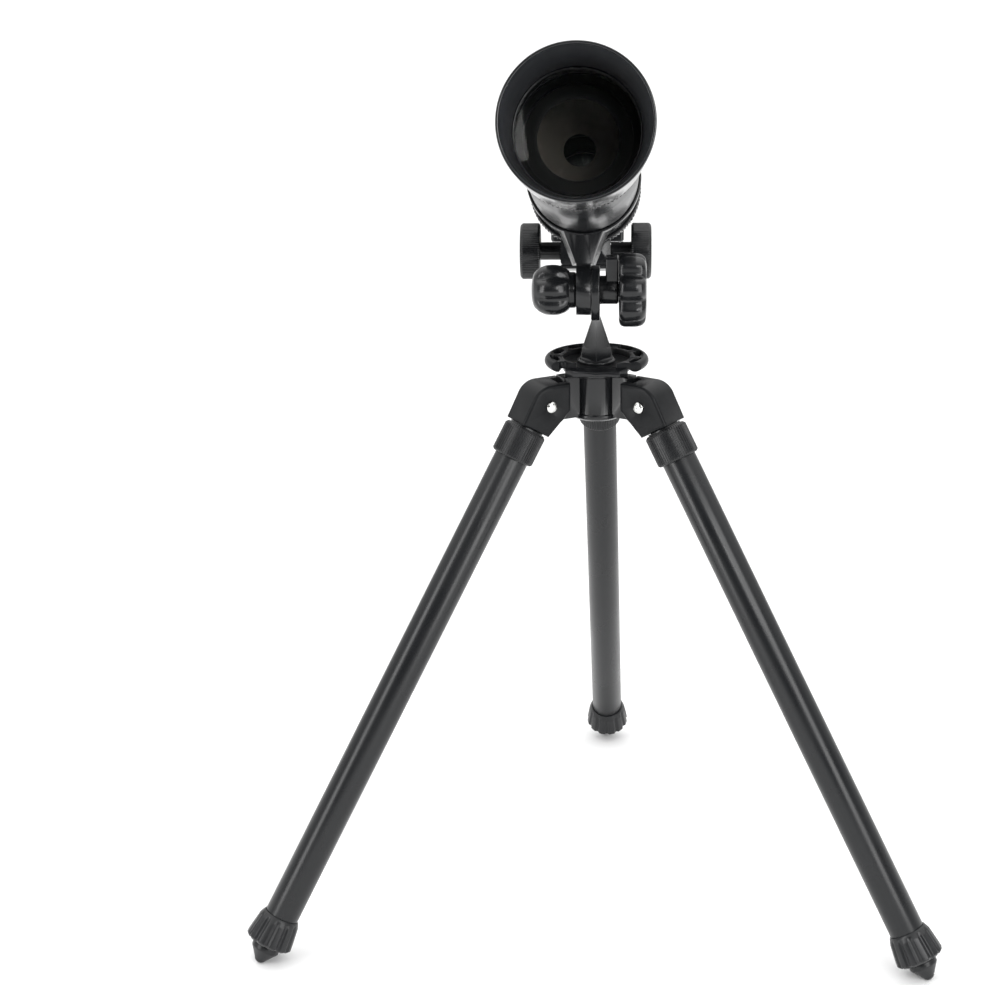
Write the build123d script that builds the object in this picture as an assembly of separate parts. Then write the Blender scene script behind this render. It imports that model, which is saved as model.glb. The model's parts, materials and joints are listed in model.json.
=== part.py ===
from build123d import *
import os
from math import acos, cos, pi, radians, sin, sqrt, tan

os.makedirs("parts", exist_ok=True)

# A small refracting telescope (spotting scope) on its own table tripod.
# Millimetres, +Z up.  The tube points along -Y with its front end raised.
# The model is built with the tripod's centre line on the Z axis and the feet on Z = 0.
# At the end it is moved so that the origin is under the middle of the whole object.

# ---- fits -----------------------------------------------------------------------------
RUN = 0.05          # radial play of a shaft that turns or slides
FIT = 0.02          # radial gap between pieces that are pressed or glued together
PLAY = 0.30         # room between curved faces that pass each other

# ---- tripod ---------------------------------------------------------------------------
TRIPOD_YAW = -1.5           # degrees, turn of the tripod under the tube
LEG_NAMES = {"left": 210.0, "right": 330.0, "back": 90.0}
LEG_TILT = 30.75            # degrees from the vertical, legs open
LEG_START_R = 20.0          # where a leg's centre line meets the plane of the tray
LEG_REACH = 311.3           # from that plane to the tip of the foot, along the leg
TIP_ROUND = 3.0             # radius of the rounded end of the foot
LEG_TUBE_R = 8.0
LEG_TUBE_WALL = 1.4
INNER_TUBE_R = 6.5
INNER_TUBE_WALL = 0.9
LEG_TRAVEL = 85.0           # how far the inner leg pulls out
INNER_TUBE_LENGTH = LEG_TRAVEL + 35.0
BRACKET_END = 31.5          # lower end of the hinge bracket, along the leg
COLLAR_TOP = 32.3
COLLAR_BOTTOM = 47.5
COLLAR_R = 10.0
COLLAR_RIBS = 52
LOCK_TOP = 286.5            # twist lock ring, along the leg
LOCK_BOTTOM = 301.0
LOCK_TOP_R = 8.9
LOCK_FLARE_R = 11.25
PIN_ALONG = 18.4            # hinge pin, along the leg and across it
PIN_ACROSS = -1.7
PIN_R = 2.0
PIN_HEAD_R = 2.6
HINGE_R = 9.7               # rounded top of the bracket about the pin
BRACKET_HALF = 9.0
CHEEK_REACH = 10.2          # cheeks of the bracket, from the pin towards the hub
CHEEK_LOW = -3.3
LUG_HALF = 4.0
LUG_END_R = 7.4
PIN_SIDE = {"left": -90, "right": 90, "back": 90}   # turns the pins' heads to the front

TRAY_Z = (LEG_REACH - TIP_ROUND) * cos(radians(LEG_TILT)) + TIP_ROUND
TRAY_R = 24.0
TRAY_RIM = 2.4
TRAY_RECESS_R = 17.5
TRAY_SLOTS = 10
TRAY_FLAT = 12.5             # straight front edge, from the turning axis
LEDGE_HALF = 14.3
LEDGE_FRONT = 17.4
BARREL_R = 11.7
BARREL_BOTTOM = -25.0       # below the tray's middle plane
FLANGE_R = 15.5
LUG_SHOULDER_R = 19.0

# ---- head -----------------------------------------------------------------------------
PIVOT_Z = TRAY_Z + 33.0
SCOPE_X = -5.9              # the tube hangs to one side of the post
EYE_HALF = 3.3
EYE_R = 11.5
EAR_LEFT = -2.5             # faces of the post's ear, in X
EAR_RIGHT = 1.6
EAR_R = 11.3
NECK_Z = 21.0               # top of the post's foot, above the tray plane
NECK_HALF = 1.6
BOLT_R = 3.0
SPACER_R = 6.5
SPACER_END = 10.2
STOP_LEFT = 4.2             # square block on top of the spacer
STOP_TOP = 15.6
AZIMUTH_BOLT_R = 3.0
ALT_KNOB_R = 17.0
ALT_KNOB_LENGTH = 12.6
BALL_KNOB_R = 12.2
BALL_KNOB_LENGTH = 17.4

# ---- telescope: Z' is forward along the tube, Y' is up, both from the tilt axis -------
ELEVATION = 16.0
TUBE_HEIGHT = 51.0          # tube centre line above the tilt axis
TUBE_R = 25.0
TUBE_WALL = 1.0
TUBE_FRONT = 158.0
TUBE_REAR = -58.0
HOOD_MOUTH_R = 29.4
HOOD_REAR_R = 27.7
HOOD_FRONT = 217.0
HOOD_REAR = 164.0
HOOD_CONE_END = 183.2
CELL_REAR = 150.0
CELL_RIB_R = 27.2
CELL_SPIGOT_R = 26.2
LENS_R = 25.0
CLEAR_R = 24.0
BAND_R = 26.3
BAND_FRONT = 4.5
BAND_REAR = -9.0
FIN_FRONT = 3.5
FIN_REAR = -13.0
RING_R = 26.9
RING_REAR = -67.0
HOUSING_R = 21.5
HOUSING_REAR = -112.0
DRAWTUBE_R = 17.5
DRAWTUBE_BORE = 15.9
DRAWTUBE_FRONT = -48.0
DRAWTUBE_REAR = -138.0
SHAFT_AT = -83.0            # pinion shaft, along the tube
SHAFT_BELOW = 28.0          # and below the tube's centre line
SHAFT_R = 3.2
GEAR_MODULE = 0.8
PINION_TEETH = 15
BACKLASH = 0.16
KNOB_R = 13.75
KNOB_WIDTH = 9.9
KNOB_SPAN = 64.4
BLOCK_HALF = 12.2
RACK_HALF = 3.2
RACK_FRONT = -49.0
RACK_REAR = -134.0
LOCK_SCREW_AT = -97.0       # focus lock screw, along the tube
COVER_SCREWS = (SHAFT_AT - 9.6, SHAFT_AT + 9.6)
DIAGONAL_AT = -166.0        # where the light path turns up
EYEPIECE_R = 15.85

PITCH_R = GEAR_MODULE * PINION_TEETH / 2
RACK_PITCH = SHAFT_BELOW - PITCH_R


# ---- helpers --------------------------------------------------------------------------
def turned(points):
    """Solid of revolution about Z from a closed outline of (radius, height) points."""
    outline = Polyline(*[(r, 0, z) for r, z in points], close=True)
    return revolve(make_face(outline), Axis.Z, 360)


def ring(outer, inner, low, high):
    """Plain tube between two heights."""
    wall = Circle(outer) - Circle(inner)
    return Pos(0, 0, low) * extrude(wall, high - low)


def disc(radius, low, high):
    return Pos(0, 0, low) * extrude(Circle(radius), high - low)


def ribbed_outline(radius, depth, count, share=0.5):
    """Round outline with `count` straight ribs standing `depth` above the valleys."""
    points = []
    for k in range(count):
        for part, r in ((0.0, radius - depth), (0.12, radius), (share, radius),
                        (share + 0.12, radius - depth)):
            angle = 2 * pi * (k + part) / count
            points.append((r * cos(angle), r * sin(angle)))
    return make_face(Polyline(*points, close=True))


def lobed_outline(radius, depth, count):
    """Hand-wheel outline: broad round lobes with narrower round valleys."""
    points = []
    per_lobe = 8
    for k in range(count * per_lobe):
        angle = 2 * pi * k / (count * per_lobe)
        dip = (0.5 - 0.5 * cos(count * angle)) ** 2
        r = radius - depth * dip
        points.append((r * cos(angle), r * sin(angle)))
    return make_face(Spline(*points, periodic=True))


def box(x0, x1, y0, y1, z0, z1):
    return Pos((x0 + x1) / 2, (y0 + y1) / 2, (z0 + z1) / 2) * Box(x1 - x0, y1 - y0, z1 - z0)


def rounded_box(x0, x1, y0, y1, z0, z1, radius):
    solid = box(x0, x1, y0, y1, z0, z1)
    return fillet(solid.edges(), radius)


def edges_at(solid, height, tolerance=0.01):
    """Edges that lie wholly at one height."""
    return [
        e for e in solid.edges()
        if abs(e.bounding_box().min.Z - height) < tolerance and abs(e.bounding_box().max.Z - height) < tolerance
    ]


def thumbscrew(thread_r, thread_length, head_r, head_length, ribs):
    """Small knurled screw: the thread points down from Z = 0, the head stands above."""
    head = extrude(ribbed_outline(head_r, 0.35, ribs), head_length)
    cap = turned([(0, 0), (head_r - 0.5, 0), (head_r, 0.5), (head_r, head_length - 0.8),
                  (head_r - 0.8, head_length), (0, head_length)])
    return (head & cap) + disc(thread_r, -thread_length, 0.2)


def cap_screw(thread_r, thread_length, head_r, head_height):
    """Cross-head screw: thread down from Z = 0, domed head above."""
    crown = 0.45 * head_height
    head = turned([(0, 0), (head_r, 0), (head_r, head_height - crown), (head_r * 0.6, head_height),
                   (0, head_height)])
    cross = box(-head_r * 0.6, head_r * 0.6, -0.25, 0.25, head_height - 0.6, head_height + 1)
    cross += box(-0.25, 0.25, -head_r * 0.6, head_r * 0.6, head_height - 0.6, head_height + 1)
    return head + disc(thread_r, -thread_length, 0.1) - cross


nodes = {}


def add(name, shape):
    nodes[name] = shape


# ---- places ---------------------------------------------------------------------------
hub_place = Pos(0, 0, TRAY_Z)
pivot_place = Pos(0, 0, PIVOT_Z)
scope_place = Pos(SCOPE_X, 0, PIVOT_Z) * Rot(X=90 - ELEVATION)
tube_place = scope_place * Pos(0, TUBE_HEIGHT, 0)


def leg_azimuth(name):
    return LEG_NAMES[name] + TRIPOD_YAW


def leg_place(name):
    """Frame of one leg: Z up the leg from the tray plane, X outward, Y around."""
    return Rot(Z=leg_azimuth(name)) * Pos(LEG_START_R, 0, TRAY_Z) * Rot(Y=-LEG_TILT)


def pin_in_hub():
    """Radius and height of the hinge pin in the hub's own frame."""
    tilt = radians(LEG_TILT)
    radius = LEG_START_R + PIN_ALONG * sin(tilt) + PIN_ACROSS * cos(tilt)
    height = -PIN_ALONG * cos(tilt) + PIN_ACROSS * sin(tilt)
    return radius, height


# ---- tripod hub -----------------------------------------------------------------------
def tray_disc():
    """Accessory tray: thick rounded rim cut straight in front, sunk middle, a row of slots."""
    rim_at = TRAY_R - TRAY_RIM
    rim = revolve(Pos(rim_at, 0, 0) * Rot(X=90) * Circle(TRAY_RIM), Axis.Z, 360)
    brim = ring(rim_at, TRAY_RECESS_R - 2.0, -1.2, 1.7)
    floor = ring(TRAY_RECESS_R - 1.0, AZIMUTH_BOLT_R + 3.6, -2.4, -0.6)
    tray = rim + brim + floor
    for k in range(TRAY_SLOTS):
        slot = SlotCenterToCenter(4.6, 4.0)
        angle = 360.0 * (k + 0.31) / TRAY_SLOTS
        tray -= Rot(Z=angle) * Pos(TRAY_R - 4.4, 0, -5) * Rot(Z=90) * extrude(slot, 10)
    return tray - box(-TRAY_R, TRAY_R, -TRAY_R, -TRAY_FLAT, -6, 6)


def hub_lug():
    """One hinge lug, standing in the XZ plane."""
    pin_r, pin_z = pin_in_hub()
    plate = make_face(Polyline((8, -5.5), (LUG_SHOULDER_R, -5.5), (LUG_SHOULDER_R, -12.0),
                               (pin_r, pin_z + LUG_END_R), (pin_r, pin_z - LUG_END_R),
                               (pin_r - 6.5, BARREL_BOTTOM), (8, BARREL_BOTTOM), close=True))
    plate += Pos(pin_r, pin_z) * Circle(LUG_END_R)
    plate -= Pos(pin_r, pin_z) * Circle(PIN_R + FIT)
    lug = Rot(X=90) * extrude(plate, LUG_HALF, both=True)
    return lug


def hub_ledge():
    """Sloping ledge in front of the tray's straight edge."""
    side = make_face(Polyline((-8.0, -5.5), (-8.0, -2.5), (-TRAY_FLAT - 0.1, -2.5), (-TRAY_FLAT - 0.1, -0.5),
                              (-LEDGE_FRONT, -1.5), (-LEDGE_FRONT, -3.2), (-BARREL_R, -5.5), close=True))
    ledge = Rot(Z=90) * Rot(X=90) * extrude(side, LEDGE_HALF, both=True)
    plan = make_face(Polyline((-LEDGE_HALF, -6), (-LEDGE_HALF, -TRAY_FLAT),
                              (-LEDGE_HALF + 3.6, -LEDGE_FRONT + 1.2),
                              (0, -LEDGE_FRONT), (LEDGE_HALF - 3.6, -LEDGE_FRONT + 1.2),
                              (LEDGE_HALF, -TRAY_FLAT), (LEDGE_HALF, -6), close=True))
    return ledge & (Pos(0, 0, -8) * extrude(plan, 10))


def hub_body():
    """Hub barrel with its top flange, bottom lip and three hinge lugs."""
    barrel = turned([(0, -2.4 - RUN), (FLANGE_R, -2.4 - RUN), (FLANGE_R, -4.2), (FLANGE_R - 1.3, -5.5),
                     (BARREL_R, -5.5), (BARREL_R, BARREL_BOTTOM + 1.6), (BARREL_R + 0.6, BARREL_BOTTOM + 1.0),
                     (BARREL_R + 0.6, BARREL_BOTTOM - 0.4), (BARREL_R - 1.0, BARREL_BOTTOM - 1.6),
                     (8.4, BARREL_BOTTOM - 1.6), (8.4, -14.0), (0, -14.0)])
    lugs = hub_lug()
    for name in LEG_NAMES:
        barrel += Rot(Z=leg_azimuth(name)) * lugs
    barrel += hub_ledge()
    barrel -= disc(AZIMUTH_BOLT_R + RUN, -20, 5)
    return barrel


def hinge_pins():
    """Three steel pins with domed heads, pressed into the hub's lugs."""
    pin_r, pin_z = pin_in_hub()
    half = BRACKET_HALF
    pins = None
    for name in LEG_NAMES:
        pin = turned([(0, -half - 0.9), (PIN_R, -half - 0.9), (PIN_R, half + 0.1), (PIN_HEAD_R, half + 0.1),
                      (PIN_HEAD_R, half + 0.6), (PIN_HEAD_R * 0.7, half + 1.2), (0, half + 1.4)])
        placed = Rot(Z=leg_azimuth(name)) * Pos(pin_r, 0, pin_z) * Rot(X=PIN_SIDE[name]) * pin
        pins = placed if pins is None else pins + placed
    return pins


# ---- one leg --------------------------------------------------------------------------
def leg_bracket():
    """Hinge bracket: a closed cap over the lug, with square-cornered cheeks towards the hub."""
    pin_x = PIN_ACROSS
    pin_z = -PIN_ALONG
    cosine = cos(radians(LEG_TILT))
    sine = sin(radians(LEG_TILT))

    def beside_pin(inward, up):
        """Point given from the pin, level and upright when the leg is open."""
        return pin_x - inward * cosine + up * sine, pin_z + inward * sine + up * cosine

    side = Pos(pin_x, pin_z) * Circle(HINGE_R)
    side += make_face(Polyline(beside_pin(0, HINGE_R), (pin_x + HINGE_R, pin_z), (7.3, -BRACKET_END),
                               (-8.0, -BRACKET_END), beside_pin(CHEEK_REACH, CHEEK_LOW),
                               beside_pin(CHEEK_REACH, HINGE_R), close=True))
    block = Rot(X=90) * extrude(side, BRACKET_HALF, both=True)
    outer = [e for e in block.edges() if abs(abs(e.center().Y) - BRACKET_HALF) < 0.01]
    block = fillet(outer, 1.6)
    slot = Pos(pin_x, pin_z) * Circle(LUG_END_R + PLAY + 0.3)
    slot += Pos((pin_x - 20) / 2, (-2.0 - BRACKET_END + 4.0) / 2) * Rectangle(20 + pin_x, BRACKET_END - 6.0)
    block -= Rot(X=90) * extrude(slot, LUG_HALF + 0.15, both=True)
    block -= Pos(pin_x, 0, pin_z) * Rot(X=90) * extrude(Circle(PIN_R + RUN), 12, both=True)
    spigot = ring(LEG_TUBE_R - LEG_TUBE_WALL - FIT, 4.5, -BRACKET_END - 16, -BRACKET_END + 0.2)
    return block + spigot


def leg_collar():
    """Ribbed collar that hides the joint between bracket and tube."""
    low = -COLLAR_BOTTOM
    body = Pos(0, 0, low) * extrude(ribbed_outline(COLLAR_R, 0.35, COLLAR_RIBS), COLLAR_BOTTOM - COLLAR_TOP)
    shape = turned([(0, low), (COLLAR_R - 0.9, low), (COLLAR_R, low + 0.9), (COLLAR_R, -COLLAR_TOP - 1.3),
                    (COLLAR_R - 1.1, -COLLAR_TOP), (0, -COLLAR_TOP)])
    return (body & shape) - disc(LEG_TUBE_R + FIT, low - 1, -COLLAR_TOP + 1)


def leg_tube():
    """Outer leg tube of drawn aluminium."""
    return ring(LEG_TUBE_R, LEG_TUBE_R - LEG_TUBE_WALL, -LOCK_BOTTOM + 5.0, -BRACKET_END - 0.1)


def lock_ring():
    """Fluted twist ring that flares towards the foot."""
    length = LOCK_BOTTOM - LOCK_TOP
    outside = turned([(0, -LOCK_BOTTOM), (LOCK_FLARE_R - 1.2, -LOCK_BOTTOM),
                      (LOCK_FLARE_R, -LOCK_BOTTOM + 1.2),
                      (LOCK_FLARE_R - 0.4, -LOCK_BOTTOM + 4.5), (LOCK_TOP_R + 0.9, -LOCK_TOP - 3.0),
                      (LOCK_TOP_R, -LOCK_TOP - 0.8), (LOCK_TOP_R - 0.5, -LOCK_TOP), (0, -LOCK_TOP)])
    for k in range(12):
        groove = Pos(LOCK_FLARE_R + 0.75, 0, -LOCK_BOTTOM - 1) * extrude(Circle(1.5), length - 2.2)
        outside -= Rot(Z=30 * k) * groove
    outside -= disc(LEG_TUBE_R + RUN, -LOCK_BOTTOM + 4.6, -LOCK_TOP + 1)
    outside -= disc(INNER_TUBE_R + 0.15 + RUN, -LOCK_BOTTOM - 1, -LOCK_TOP)
    return outside


def inner_tube():
    """Inner leg tube, which slides in the outer one."""
    low = -LOCK_BOTTOM - 1.0
    return ring(INNER_TUBE_R, INNER_TUBE_R - INNER_TUBE_WALL, low, low + INNER_TUBE_LENGTH)


def foot_tip():
    """Cone foot with a rounded end and a plug inside the inner tube."""
    top = -LOCK_BOTTOM - 1.0
    low = -LEG_REACH
    profile = [(0, top + 8), (INNER_TUBE_R - INNER_TUBE_WALL - FIT, top + 8),
               (INNER_TUBE_R - INNER_TUBE_WALL - FIT, top - FIT), (6.65, top - FIT), (6.65, top - 2.2),
               (6.1, top - 3.0)]
    for k in range(9):
        angle = radians(22 + 68 * k / 8)
        profile.append((TIP_ROUND * cos(angle), low + TIP_ROUND - TIP_ROUND * sin(angle)))
    return turned(profile)


def tripod():
    add("tray_disc", hub_place * tray_disc())
    add("hub_body", hub_place * hub_body())
    add("hinge_pins", hub_place * hinge_pins())
    pieces = {
        "leg_bracket": leg_bracket(),
        "leg_collar": leg_collar(),
        "leg_tube": leg_tube(),
        "lock_ring": lock_ring(),
        "inner_leg": inner_tube(),
        "foot_tip": foot_tip(),
    }
    for name in LEG_NAMES:
        for piece, shape in pieces.items():
            add(f"{piece}_{name}", leg_place(name) * shape)


# ---- head -----------------------------------------------------------------------------
def head_post():
    """Post that turns on the hub: a blade-edged foot, narrowing upwards, and a flat ear on top."""
    foot = disc(6.4, -2.4, -0.4) + turned([(0, -0.6), (8.6, -0.6), (8.6, 0.2), (8.0, 0.8), (0, 0.8)])
    sections = []
    for z, across, deep in ((0.0, 7.7, 8.2), (6.0, 6.5, 7.4), (NECK_Z, NECK_HALF, 6.2)):
        outline = Polyline((-across, 0), (0, -deep), (across, 0), (0, deep), close=True)
        sections.append(Pos(0, 0, z) * make_face(outline))
    blade = loft(sections, ruled=True)
    lift = PIVOT_Z - TRAY_Z
    ear_mid = (EAR_LEFT + EAR_RIGHT) / 2
    ear_half = (EAR_RIGHT - EAR_LEFT) / 2
    plate = make_face(Polyline((-4.5, NECK_Z - 1.2), (4.5, NECK_Z - 1.2), (EAR_R - 1.0, lift - 6),
                               (EAR_R, lift),
                               (-EAR_R, lift), (-EAR_R + 1.0, lift - 6), close=True))
    plate += Pos(0, lift) * Circle(EAR_R)
    ear = Pos(ear_mid, 0, 0) * (Rot(Z=90) * Rot(X=90) * extrude(plate, ear_half, both=True))
    ear = fillet([e for e in ear.edges() if abs(abs(e.center().X - ear_mid) - ear_half) < 0.01], 0.7)
    post = foot + blade + ear
    post -= Pos(0, 0, lift) * (Rot(Y=90) * extrude(Circle(BOLT_R + RUN), 20, both=True))
    post -= disc(AZIMUTH_BOLT_R + FIT, -3, 6)
    return post


def azimuth_bolt():
    """Bolt moulded into the post, which holds it down on the hub."""
    return disc(AZIMUTH_BOLT_R, -21.5, 6 - FIT)


def azimuth_nut():
    """Self-locking nut under the hub, on a plain washer."""
    nut = Pos(0, 0, -21.0) * extrude(RegularPolygon(5.5, 6), 5.4)
    washer = disc(7.4, -15.4, -14.0 - RUN)
    return nut + washer - disc(AZIMUTH_BOLT_R + FIT, -30, 0)


def tilt_bolt():
    """Long bolt through the tube bracket, the ear, the spacer and the clamp knob."""
    shaft = disc(BOLT_R, -18.0, SPACER_END + 9.0)
    head = Pos(0, 0, -21.0) * extrude(RegularPolygon(5.6, 6), 3.2)
    return Rot(Y=90) * (shaft + head)


def ball_knob():
    """Left-hand knob: lobed and domed, with a flat round flange against the bracket."""
    seat = SCOPE_X - EYE_HALF
    end = seat - 3.0 - BALL_KNOB_LENGTH
    outline = lobed_outline(BALL_KNOB_R, 2.0, 6)
    body = Pos(0, 0, end) * extrude(outline, BALL_KNOB_LENGTH)
    dome = turned([(0, end), (4.0, end), (7.6, end + 1.0), (10.4, end + 3.2), (11.9, end + 6.2),
                   (BALL_KNOB_R, end + 9.4), (12.0, end + 12.4), (10.8, end + 15.4),
                   (9.0, end + BALL_KNOB_LENGTH),
                   (0, end + BALL_KNOB_LENGTH)])
    knob = (body & dome) + disc(8.25, end + BALL_KNOB_LENGTH - 0.5, seat - RUN)
    knob -= Pos(0, 0, -21.0 - FIT) * extrude(RegularPolygon(5.6 + FIT, 6), 3.2 + 2 * FIT)
    knob -= disc(BOLT_R + FIT, -18.5, 5)
    return Rot(Y=90) * knob


def clamp_spacer():
    """Boss between the ear and the clamp knob, with a square stop block on top."""
    spacer = turned([(BOLT_R + RUN, EAR_RIGHT + FIT), (SPACER_R, EAR_RIGHT + FIT),
                     (SPACER_R, SPACER_END - 0.9),
                     (SPACER_R - 0.8, SPACER_END - RUN), (BOLT_R + RUN, SPACER_END - RUN)])
    stop = rounded_box(STOP_LEFT, SPACER_END - RUN, -4.2, 4.2, BOLT_R + 1.2, STOP_TOP, 0.8)
    return Rot(Y=90) * spacer + stop


def clamp_knob():
    """Large lobed hand wheel that locks the tilt."""
    start = SPACER_END
    end = start + ALT_KNOB_LENGTH
    outline = lobed_outline(ALT_KNOB_R, 3.4, 7)
    body = Pos(0, 0, start) * extrude(outline, ALT_KNOB_LENGTH)
    shape = turned([(0, start), (14.6, start), (16.3, start + 0.8), (ALT_KNOB_R, start + 2.4),
                    (ALT_KNOB_R, start + 8.2), (16.4, end - 2.0), (14.8, end - 0.5), (12.0, end), (0, end)])
    knob = (body & shape) - disc(BOLT_R + RUN, start - 1, start + 9.3)
    return Rot(Y=90) * knob


def head():
    add("head_post", hub_place * head_post())
    add("azimuth_bolt", hub_place * azimuth_bolt())
    add("azimuth_nut", hub_place * azimuth_nut())
    add("clamp_spacer", pivot_place * clamp_spacer())
    add("tilt_bolt", pivot_place * tilt_bolt())
    add("ball_knob", pivot_place * ball_knob())
    add("clamp_knob", pivot_place * clamp_knob())


# ---- telescope ------------------------------------------------------------------------
def dew_shield():
    """Flared hood with a rounded lip, a conical inside and a socket for the cell."""
    hood = turned([(CELL_SPIGOT_R + FIT, HOOD_REAR), (HOOD_REAR_R - 0.4, HOOD_REAR),
                   (HOOD_REAR_R, HOOD_REAR + 0.5),
                   (HOOD_MOUTH_R, HOOD_FRONT - 1.6), (HOOD_MOUTH_R - 0.15, HOOD_FRONT - 0.6),
                   (HOOD_MOUTH_R - 0.6, HOOD_FRONT), (HOOD_MOUTH_R - 1.1, HOOD_FRONT - 0.5),
                   (CLEAR_R + 0.8, HOOD_CONE_END + 1.0), (CLEAR_R + 0.8, HOOD_CONE_END),
                   (CELL_SPIGOT_R + FIT, HOOD_CONE_END)])
    return hood


def objective_cell():
    """Lens cell: ribbed band outside, lens seat inside, sleeve over the tube's end."""
    body = turned([(TUBE_R + FIT, CELL_REAR), (CELL_RIB_R - 0.5, CELL_REAR),
                   (CELL_RIB_R - 0.5, HOOD_REAR - 0.1),
                   (CELL_SPIGOT_R, HOOD_REAR - 0.1), (CELL_SPIGOT_R, HOOD_CONE_END - 0.2),
                   (LENS_R + FIT, HOOD_CONE_END - 0.2), (LENS_R + FIT, 162.0), (21.4, 162.0),
                   (21.4, TUBE_FRONT + FIT),
                   (TUBE_R + FIT, TUBE_FRONT + FIT)])
    ribs = ribbed_outline(CELL_RIB_R, 0.5, 90) - Circle(CELL_RIB_R - 0.6)
    body += Pos(0, 0, CELL_REAR + 1.2) * extrude(ribs, HOOD_REAR - CELL_REAR - 2.6)
    return body


def lens(front_radius, back_radius, edge, low):
    """Lens with its rim from `low` up; a positive radius bulges outward, a negative one is hollow."""
    def sag(radius, r):
        return (abs(radius) - sqrt(radius ** 2 - r ** 2)) * (1 if radius > 0 else -1)

    rim = LENS_R - FIT
    count = 10
    back = [(rim * k / count, low - sag(back_radius, rim) + sag(back_radius, rim * k / count))
            for k in range(count + 1)]
    front = [(rim * k / count, low + edge + sag(front_radius, rim) - sag(front_radius, rim * k / count))
             for k in range(count, -1, -1)]
    return turned(back + front)


def optics():
    add("flint_lens", tube_place * lens(-150.0, -700.0, 4.5, 162.0 + FIT))
    add("crown_lens", tube_place * lens(220.0, 150.0, 2.6, 169.2))
    spacer = ring(LENS_R - FIT, CLEAR_R + 0.2, 166.6, 169.0)
    add("lens_spacer", tube_place * spacer)
    retainer = turned([(CLEAR_R, 172.0), (LENS_R - FIT, 172.0), (LENS_R - FIT, 181.6), (CLEAR_R + 0.2, 181.6),
                       (CLEAR_R, 181.2)])
    notch = box(-1.5, 1.5, -26, 26, 180.4, 182)
    add("lens_retainer", tube_place * (retainer - notch))
    bore = TUBE_R - TUBE_WALL - FIT
    stop = turned([(16.0, 156.6), (bore - 0.9, 155.6), (bore - 0.9, 150.0), (bore, 150.0), (bore, 156.8),
                   (16.0, 157.4)])
    add("aperture_stop", tube_place * stop)
    baffle = turned([(6.6, 117.6), (bore - 0.9, 117.2), (bore - 0.9, 110.0), (bore, 110.0), (bore, 118.0),
                     (6.6, 118.4)])
    add("glare_baffle", tube_place * baffle)


def main_tube():
    tube = ring(TUBE_R, TUBE_R - TUBE_WALL, TUBE_REAR, TUBE_FRONT)
    return tube


def tube_bracket():
    """Band round the tube with a wedge-shaped fin and the tilt eye below it."""
    band = ring(BAND_R, TUBE_R + FIT, BAND_REAR, BAND_FRONT)
    band = fillet(edges_at(band, BAND_FRONT) + edges_at(band, BAND_REAR), 0.5)
    band = Pos(0, TUBE_HEIGHT, 0) * band

    def wedge(front, top_half, low_half):
        """Cross-section of the fin in the X'Y' plane."""
        top = TUBE_HEIGHT - TUBE_R + 1.6
        outline = Polyline((-top_half, top), (-low_half, EYE_R + 0.6), (-EYE_HALF, 5.0), (EYE_HALF, 5.0),
                           (low_half, EYE_R + 0.6), (top_half, top), close=True)
        return Pos(0, 0, front) * make_face(outline)

    fin = loft([wedge(FIN_FRONT, 9.4, 3.5), wedge(FIN_REAR, 11.6, 5.4)])
    fin -= Pos(0, TUBE_HEIGHT, 0) * disc(TUBE_R + FIT, -40, 40)
    eye = Rot(Y=90) * extrude(Circle(EYE_R), EYE_HALF, both=True)
    foot = box(-EYE_HALF, EYE_HALF, 0, 12.4, FIN_REAR, FIN_FRONT)
    bracket = band + fin + (eye + foot)
    bracket -= box(-EYE_HALF - 5, -EYE_HALF, -20, EYE_R + 0.4, -30, 30)
    bracket -= box(EYE_HALF, EYE_HALF + 5, -20, EYE_R + 0.4, -30, 30)
    bracket -= Rot(Y=90) * extrude(Circle(BOLT_R + RUN), 20, both=True)
    return bracket


def tube_end_ring():
    """Ribbed ring that joins the tube to the focuser."""
    body = turned([(TUBE_R + FIT, -54.0), (RING_R - 0.5, -54.0), (RING_R - 0.5, RING_REAR), (23.3, RING_REAR),
                   (23.3, -64.6), (TUBE_R + FIT, -64.6)])
    ribs = ribbed_outline(RING_R, 0.5, 90) - Circle(RING_R - 0.6)
    return body + Pos(0, 0, RING_REAR + 1.0) * extrude(ribs, -54.0 - RING_REAR - 2.0)


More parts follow.
